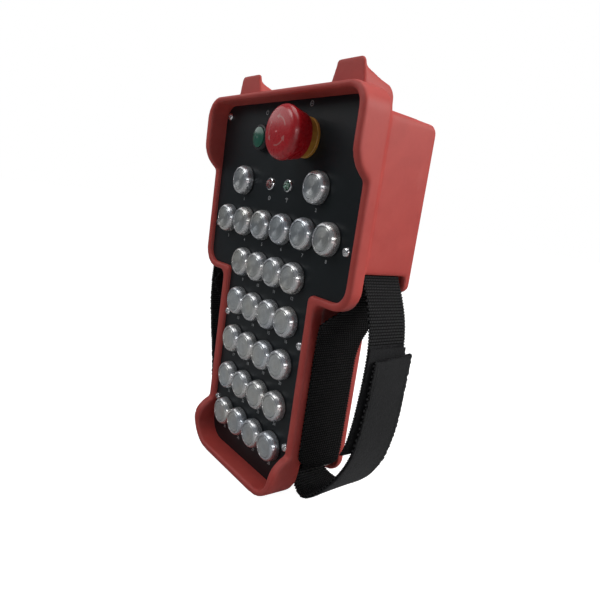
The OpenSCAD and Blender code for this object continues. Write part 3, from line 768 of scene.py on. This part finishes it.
def add_stop_arrows():
    """Three turning arrows on the emergency stop, laid on its domed face."""
    low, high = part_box("estop_head")
    centre = (low + high) / 2 / MM
    head_height, dome_radius = -low.y / MM, 70.0
    radius, line, sweep = 9.1, 0.8, 62  # arrow's radius, its line width, degrees it turns
    tip_sweep, tip_half, tip_steps = 20, 1.7, 4
    marks = Print()
    for k in range(3):
        start = 20 + 120 * k
        marks.curve(0, 0, radius, line, start, start + sweep, steps=14)
        sides = ([], [])
        for i in range(tip_steps + 1):
            angle = math.radians(start + sweep + tip_sweep * i / tip_steps)
            half = tip_half * (1 - i / tip_steps) + 0.06
            for side, reach in zip(sides, (radius - half, radius + half)):
                side.append((math.cos(angle) * reach, math.sin(angle) * reach))
        marks.outline(*sides)
    verts = []
    for x, y, z in marks.verts:
        dome = head_height - dome_radius + math.sqrt(dome_radius ** 2 - x * x - z * z)
        depth = -0.05 if y == PRINT_FRONT else 0.2
        verts.append((centre.x + x, -dome + depth, centre.z + z))
    fix_normals(add("estop_arrows", verts, marks.faces, "arrow", smooth=30,
                    body="stop_head"))


add_plate_print()
add_stop_arrows()


# ---------------------------------------------------------------- straps
# All paths are (x, z) points of the right-hand side; the left strap mirrors x.
WIDTH = 32.0
BAR_TOP, BAR_BOTTOM = (84.0, 178.0), (49.0, 18.5)
BEND = 3.25  # radius of the strap's path round each bar
GRIP_X = 62.1  # where the inner run lies straight
INNER = [
    (80, 170), (79, 157), (76, 144), (70.6, 130.5), (65.2, 120), (62.4, 108.5),
    (GRIP_X, 96), (GRIP_X, 66), (GRIP_X, 42), (61.5, 31), (57.4, 23.6), (52.4, 22),
]
OUTER_RIGHT = [
    (94.6, 53.6), (96.6, 58), (98.9, 66), (101.2, 80), (102.4, 92), (103.6, 107),
    (103.6, 128), (100.4, 145), (94.6, 159), (90.4, 166.4), (88.1, 172),
]
OUTER_LEFT = [
    (76.6, 44), (80.2, 58), (85.0, 72), (91.6, 92), (97.6, 112), (100.4, 132),
    (99.2, 150), (94.4, 160), (90.2, 166.4), (88.1, 172),
]
# The flap hangs with a slight twist, so its front and back edges have their own paths.
FLAP_RIGHT = [
    (53.2, 12.4), (57.6, 8.2), (63.8, 7.2), (71.4, 11.2), (79.6, 19.2), (88.0, 29.2),
    (97.8, 44.6), (103.8, 61), (106.4, 82), (107.4, 104), (107.2, 122.6),
]
FLAP_BACK_RIGHT = [
    (54, 14.0), (60, 13.8), (66.8, 14.8), (75, 18.0), (84.6, 24.6), (94.2, 34.8),
    (102.2, 49.6), (106.4, 66), (108.0, 84), (107.8, 104), (107.6, 122.6),
]
FLAP_LEFT = [
    (53.6, 13.2), (58.4, 12.0), (64.8, 15.6), (73.0, 26), (80.0, 41), (83.8, 56),
    (88.6, 70.6), (95.6, 91), (101.7, 111), (103.9, 127),
]
FLAP_BACK_LEFT = [
    (53.6, 13.6), (58.8, 13.4), (65.8, 17.6), (74.4, 28), (81.4, 43), (85.2, 58),
    (89.8, 72), (96.0, 92), (101.6, 111.6), (103.6, 127),
]

# Stations along a strap: length so far, the (x, z) path and normal of its front and back
# edges, and how far each station is moved toward the back.
Run = namedtuple("Run", "along front front_normal back back_normal shift")


def cut(run, part):
    return Run(*(values[part] for values in run))


def spline(points, steps=3):
    """A Catmull-Rom curve through the points."""
    points = [np.array(point, float) for point in points]
    out = []
    last = len(points) - 1
    for i in range(last):
        p0, p1, p2, p3 = (points[min(max(i + k, 0), last)] for k in (-1, 0, 1, 2))
        for k in range(steps):
            t = k / steps
            out.append(0.5 * (2 * p1 + (p2 - p0) * t + (2 * p0 - 5 * p1 + 4 * p2 - p3) * t * t
                              + (3 * p1 - p0 - 3 * p2 + p3) * t ** 3))
    out.append(points[-1])
    return np.array(out)


def resample(points, step, lengths):
    """Even stations along a path, eased, with their normals."""
    count = max(2, int(round(lengths[-1] / step)))
    along = np.linspace(0, lengths[-1], count + 1)
    path = np.stack([np.interp(along, lengths, points[:, k]) for k in (0, 1)], 1)
    for _ in range(6):
        path[1:-1] = 0.25 * path[:-2] + 0.5 * path[1:-1] + 0.25 * path[2:]
    tangent = np.gradient(path, axis=0)
    tangent /= np.linalg.norm(tangent, axis=1)[:, None]
    return along, path, np.stack([-tangent[:, 1], tangent[:, 0]], 1)


def wobble(x, seed):
    """A smooth, repeatable wave, roughly between -1 and 1."""
    random = np.random.RandomState(seed)
    out = 0.0
    for k in range(5):
        pace = (0.6 + 0.9 * k) * (0.8 + 0.4 * random.rand())
        out = out + math.pow(0.62, k) * np.sin(x * pace + random.rand() * 6.28)
    return out / 2.2


def ridges(x, power):
    return np.abs(np.sin(np.pi * x)) ** power


def smoothstep(x):
    return x * x * (3 - 2 * x)


def skew_taper(along, end):
    """0 until 25 mm before the end, rising to 1 at it."""
    return np.clip((along - (end - 25)) / 25, 0, 1) ** 1.5


def band(name, run, y_front, width, thick, sign, material, seed, serrate, edge, cols=60,
         rib_height=0.0, rough=0.0, lift=0.0, skew=0.0, spread=0.0, worn=None, replaces=()):
    """A flat band along a run: thinner selvedges, a weave or rough pile, and toothed edges.

    serrate: depth of the teeth; edge: share of the thickness left at the selvedges;
    lift: offset along the normal; skew: how far the cut end runs on at one side;
    spread: how far the front edge reaches further forward.
    """
    rows, cols = len(run.along), cols + 1
    along = run.along[:, None] * np.ones((1, cols))
    across = np.ones((rows, 1)) * np.linspace(0, 1, cols)[None, :]
    side = 2 * across - 1  # -1 at the front edge, 1 at the back
    x, z = (run.front[:, k:k + 1] * (1 - across) + run.back[:, k:k + 1] * across
            for k in (0, 1))
    normal_x, normal_z = (run.front_normal[:, k:k + 1] * (1 - across)
                          + run.back_normal[:, k:k + 1] * across for k in (0, 1))
    length = np.hypot(normal_x, normal_z)
    normal_x, normal_z = normal_x / length, normal_z / length

    # Thickness and surface relief.
    half = thick / 2 * (1 - (1 - edge) * np.clip((np.abs(side) - 0.93) / 0.07, 0, 1) ** 2)
    rib = ridges(along / RIB, 0.7)
    row = np.floor(along / RIB)
    top, bottom = (
        rib_height * (rib * (0.3 + 0.7 * ridges(across * width / YARN + 0.5 * (k % 2), 0.7))
                      - 0.6) for k in (row, row + 1))
    if rough:
        fuzz = np.random.RandomState(seed + 77).rand(rows, cols) - 0.5
        fuzz[1:-1, 1:-1] = (fuzz[:-2, 1:-1] + fuzz[2:, 1:-1] + fuzz[1:-1, :-2]
                            + fuzz[1:-1, 2:] + 2 * fuzz[1:-1, 1:-1]) / 6
        top = top + rough * 2.2 * fuzz
    middle = lift + 0.168 * wobble(along * 0.05 + side * 0.6, seed)

    # Place across the strap, with teeth on the outermost columns.
    y = y_front + across * width + run.shift[:, None]
    y = y - np.reshape(spread, (-1, 1)) * (1 - across)
    tooth = serrate * (ridges(along / RIB, 1.2) - 0.5)
    if rough:
        ragged = np.random.RandomState(seed + 5).rand(rows, 2) - 0.5
        ragged[1:-1] = 0.5 * ragged[1:-1] + 0.25 * (ragged[:-2] + ragged[2:])
        tooth = 0.12 * tooth + serrate * np.where(side > 0, ragged[:, 1:], ragged[:, :1])
    y = y + np.where(np.abs(side) > 0.985, np.sign(side) * tooth, 0)

    slide = skew_taper(along, run.along[-1]) * skew * side
    verts = []
    for offset in (middle + half + top, middle - half - bottom):
        verts.append(np.stack([sign * (x + normal_x * offset + normal_z * slide), y,
                               z + normal_z * offset - normal_x * slide], -1).reshape(-1, 3))
    under = rows * cols  # from a vertex of one face to its partner on the other
    faces = grid_faces(rows, cols) + grid_faces(rows, cols, under, flip=True)
    for i in range(rows - 1):
        a, b = i * cols, (i + 1) * cols
        faces.append((a, a + under, b + under, b))
        a, b = a + cols - 1, b + cols - 1
        faces.append((a, b, b + under, a + under))
    for j in range(cols - 1):
        faces.append((j, j + 1, j + 1 + under, j + under))
        a = (rows - 1) * cols + j
        faces.append((a, a + under, a + 1 + under, a + 1))
    piece = add(name, np.concatenate(verts).tolist(), faces, material,
                smooth=180, replaces=replaces)

    mesh = piece.data
    weave = mesh.uv_layers.new(name="weave")
    uv = np.stack([np.tile(part.ravel(), 2) / UV_UNIT for part in (along, across * width)], 1)
    corners = np.empty(len(mesh.loops), np.int32)
    mesh.loops.foreach_get("vertex_index", corners)
    weave.data.foreach_set("uv", uv[corners].astype(np.float32).ravel())
    # Where this is 0 the webbing's material paints shade.
    if worn is not None:
        set_attribute(mesh, "worn", "FLOAT", "value", np.tile(np.repeat(worn, cols), 2))
    fix_normals(piece)


def threads(name, roots):
    """Short tapered threads. roots: (start, direction, length, radius, bend)."""
    verts, faces = [], []
    for start, direction, length, radius, bend in roots:
        start, direction, bend = (np.array(v, float) for v in (start, direction, bend))
        direction /= np.linalg.norm(direction)
        side = np.cross(direction, (0.3, 0.5, 0.8))
        side /= np.linalg.norm(side)
        other = np.cross(direction, side)
        base = len(verts)
        for k in range(4):
            t = k / 3
            centre = start + direction * length * t + bend * t * t
            thin = radius * (1 - 0.55 * t)
            for j in range(4):
                angle = math.pi / 2 * j
                verts.append(tuple(
                    centre + thin * (math.cos(angle) * side + math.sin(angle) * other)))
        for k in range(3):
            for j in range(4):
                a, b = base + 4 * k + j, base + 4 * k + (j + 1) % 4
                faces.append((a, b, b + 4, a + 4))
        faces.append((base + 3, base + 2, base + 1, base))
        faces.append((base + 12, base + 13, base + 14, base + 15))
    fix_normals(add(name, verts, faces, "thread", smooth=180))


def thread_place(run, sign, i, t, y, offset, slide):
    """A point at station i, t of the way to the back edge, and the (x, z) tangent there."""
    x, z = run.front[i] * (1 - t) + run.back[i] * t
    normal_x, normal_z = run.front_normal[i] * (1 - t) + run.back_normal[i] * t
    tangent = (normal_z, -normal_x)
    point = (sign * (x + normal_x * offset + tangent[0] * slide), y + run.shift[i],
             z + normal_z * offset + tangent[1] * slide)
    return point, tangent


def add_loose_threads(name, run, sign, y_front, hook_end, seed, skew):
    """Threads pulled loose at the cut ends."""
    random = np.random.RandomState(seed)
    flap_end = len(run.along) - 2
    roots = []
    # (count, station, direction along the run, offset along the normal, length)
    for count, i, way, lift, reach in (
            (260, flap_end, 1, -0.8, 1.7), (220, hook_end, 1, -1.1, 1.9), (70, 1, -1, 0.0, 1.6)):
        for _ in range(count):
            t = random.rand()
            offset = lift + (random.rand() - 0.5) * 1.3
            slide = skew * (2 * t - 1) if i == flap_end else 0
            start, tangent = thread_place(run, sign, i, t, y_front + 0.6 + t * (WIDTH - 1.2),
                                          offset, slide)
            direction = (sign * (tangent[0] * way + 0.5 * (random.rand() - 0.5)),
                         0.9 * (random.rand() - 0.5),
                         tangent[1] * way + 0.3 * (random.rand() - 0.5))
            length = reach * (0.4 + 0.8 * random.rand())
            bend = (0.8 * (random.rand() - 0.5), 0.8 * (random.rand() - 0.5),
                    -0.4 * random.rand())
            roots.append((start, direction, length, 0.11, bend))
    threads(name, roots)


def add_stitching(name, run, sign, y_front, flap_start, step, skew):
    """Two rows of stitches along the loop tape."""
    inset, pitch, length, radius = 2.6, 2.6, 1.9, 0.17
    taper = skew_taper(run.along, run.along[-1])
    roots = []
    stations = range(flap_start + 12, len(run.along) - 8, max(1, int(round(pitch / step))))
    for i in stations:
        for across in (inset, WIDTH - inset):
            t = across / WIDTH
            start, tangent = thread_place(run, sign, i, t, y_front + across, offset=-1.62,
                                          slide=float(taper[i]) * skew * (2 * t - 1))
            roots.append((start, (sign * tangent[0], 0, tangent[1]), length, radius, (0, 0, 0)))
    threads(name, roots)


def grip_spread(run, middle, reach):
    """Beside the grip the webbing spreads forward over the frame's side."""
    x, z = run.front.T
    rise_in, rise_out = np.clip((z - 28) / 9, 0, 1), np.clip((148 - z) / 9, 0, 1)
    spread = reach * smoothstep(rise_in) * smoothstep(rise_out)
    spread = spread + 0.75 * np.clip(x - GRIP_X, 0, 12) * np.clip((142 - z) / 8, 0, 1) * rise_in
    return np.where(middle & (x < 80), spread, 0)


def strap(label, sign, outer, flap, flap_back, seed, end_shift, skew):
    """One strap: down from the top bar beside the grip, round the bottom bar and up again."""
    name = "strap_" + label
    low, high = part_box(name)
    y_front = high.y / MM - WIDTH
    step = RIB / 3
    edges = [spline(outer + arc(BAR_TOP, BEND, -4, 184, 6) + INNER
                    + arc(BAR_BOTTOM, BEND, 92, 264, 6) + tail) for tail in (flap, flap_back)]
    spans = np.linalg.norm(np.diff((edges[0] + edges[1]) / 2, axis=0), axis=1)
    lengths = np.r_[0, np.cumsum(spans)]
    along, front, front_normal = resample(edges[0], step, lengths)
    _, back, back_normal = resample(edges[1], step, lengths)
    total = along[-1]
    # Where the flap leaves the bottom bar, and how far it drifts to the back on the way up.
    miss = np.hypot(front[:, 0] - flap[1][0], front[:, 1] - flap[1][1])
    flap_start = np.argmin(miss + np.where(along < total * 0.6, 1e3, 0))
    rise = np.clip((along - along[flap_start]) / (total - along[flap_start]), 0, 1)
    run = Run(along, front, front_normal, back, back_normal, end_shift * rise ** 1.4)

    middle = (along > total * 0.3) & (along < total * 0.72)
    # Painted shade: the webbing is drawn darker along the run beside the grip, where the
    # per-station value below is 0.
    band(name + "_webbing", run, y_front, WIDTH, thick=1.5, sign=sign, material="web",
         seed=seed, serrate=1.5, edge=0.45, cols=min(66, 46000 // len(along)),
         rib_height=0.34, skew=skew, spread=grip_spread(run, middle, y_front - low.y / MM),
         worn=np.clip(np.abs(along / total - 0.49) * 11 - 1.6, 0, 1), replaces=(name,))
    # Loop tape sewn on the outside of the flap.
    band(name + "_loop_tape", cut(run, slice(flap_start, len(along) - 1)), y_front + 0.3,
         WIDTH - 0.6, thick=0.75, sign=sign, material="pile", seed=seed + 5, serrate=1.7,
         edge=0.6, rough=0.16, lift=-1.12, skew=skew)
    # Hook tape on the outer run, under the flap. It follows the front edge's path.
    covered = np.flatnonzero((along < total * 0.4) & (front[:, 1] <= flap[-1][1] + 6))
    hook_end = covered[-1]
    straight = Run(along, front, front_normal, front, front_normal, 0 * along)
    band(name + "_hook_tape", cut(straight, slice(covered[0] + 2, hook_end)), y_front + 0.4,
         WIDTH + 0.8, thick=0.6, sign=sign, material="hook", seed=seed + 9, serrate=1.8,
         edge=0.6, rough=0.12, lift=-1.05)
    add_loose_threads(name + "_loose_threads", run, sign, y_front, hook_end, seed, skew)
    add_stitching(name + "_stitching", run, sign, y_front, flap_start, step, skew)


strap("right", 1, OUTER_RIGHT, FLAP_RIGHT, FLAP_BACK_RIGHT, seed=11, end_shift=3.6, skew=1.8)
strap("left", -1, OUTER_LEFT, FLAP_LEFT, FLAP_BACK_LEFT, seed=29, end_shift=2.4, skew=-1.5)


# ---------------------------------------------------------------- stage, light and camera
def add_floor():
    """A wide floor just below the station, nearly white to the camera."""
    half, z = 6, -0.0006
    mesh = bpy.data.meshes.new("floor")
    mesh.from_pydata([(-half, -half, z), (half, -half, z), (half, half, z), (-half, half, z)],
                     [], [(0, 1, 2, 3)])
    floor = link("floor", mesh)
    mat = Material("floor")
    glow = mat.node("ShaderNodeEmission", Color=(1, 1, 1),
                    Strength=mat.scaled(mat.camera_ray(), by=0.92, plus=0.06))
    grey = mat.mix(mat.noise(scale=3), low=(0.36, 0.36, 0.36), high=(0.40, 0.40, 0.40))
    mesh.materials.append(mat.finish(Base_Color=grey, Roughness=0.9, Specular_IOR_Level=0.1))
    both = mat.node("ShaderNodeAddShader")
    mat.put(both.inputs[0], mat.bsdf.outputs[0])
    mat.put(both.inputs[1], glow.outputs[0])
    mat.put(mat.tree.nodes["Material Output"].inputs[0], both.outputs[0])


def set_world():
    """White to the camera; a dim sky, brighter toward the top, for everything else."""
    world = bpy.data.worlds.new("world")
    scene.world = world
    world.use_nodes = True
    graph = Graph(world.node_tree)
    direction = graph.node("ShaderNodeTexCoord").outputs["Generated"]
    height = graph.node("ShaderNodeMapRange")
    from_min, from_max = -0.2, 0.9
    for socket, value in zip(height.inputs, (graph.split(direction)[2], from_min, from_max)):
        graph.put(socket, value)
    sky = graph.ramp(height.outputs[0], start=0.0, end=1.0,
                     low=(0.080, 0.088, 0.098), high=(0.170, 0.182, 0.200))
    background = graph.tree.nodes["Background"]
    graph.put(background.inputs[0], graph.mix(graph.camera_ray(), low=sky, high=(1, 1, 1)))
    graph.put(background.inputs[1], 1.0)


def area(name, at, size, power, to=(0, 0.02, 0.15), colour=(1, 1, 1), diffuse=True):
    light = bpy.data.lights.new(name, "AREA")
    light.shape = "RECTANGLE"
    light.size, light.size_y = size
    light.energy = power
    light.color = colour
    lamp = link(name, light)
    lamp.visible_diffuse = diffuse
    lamp.location = at
    lamp.rotation_euler = (Vector(to) - Vector(at)).to_track_quat("-Z", "Y").to_euler()


def add_lights():
    area("key", at=(0.95, 0.65, 0.75), size=(0.5, 0.5), power=10.6, colour=(1.0, 0.975, 0.95))
    area("top", at=(0.10, 0.10, 1.25), size=(0.9, 0.9), power=5.2)
    area("upper_front", at=(-0.30, -0.80, 1.00), size=(0.5, 0.5), power=3.6, to=(0, 0, 0.29))
    # These show as streaks in the turned metal and the gloss, and do not light the rest.
    area("strip", at=(1.10, -0.25, 0.42), size=(1.5, 0.10), power=3.6, diffuse=False)
    area("low_strip", at=(1.0, -0.2, 0.03), size=(1.3, 0.05), power=0.8,
         colour=(1.0, 0.84, 0.84), diffuse=False)
    area("front", at=(-1.15, -0.72, 0.84), size=(1.4, 0.6), power=3.2, diffuse=False)


def add_camera():
    data = bpy.data.cameras.new("camera")
    data.lens = 31.79
    data.sensor_width = 36.0
    data.clip_start = 0.01
    camera = link("camera", data)
    back = Vector((0.7713, -0.6099, 0.1819)).normalized()
    right = Vector((-0.2296, 0.0, 0.9733)).cross(back).normalized()
    up = back.cross(right).normalized()
    turn = Matrix((right, up, back)).transposed().to_4x4()
    camera.matrix_world = Matrix.Translation((0.3207, -0.2201, 0.2102)) @ turn
    scene.camera = camera


scene.view_settings.view_transform = "Standard"
add_floor()
set_world()
add_lights()
add_camera()
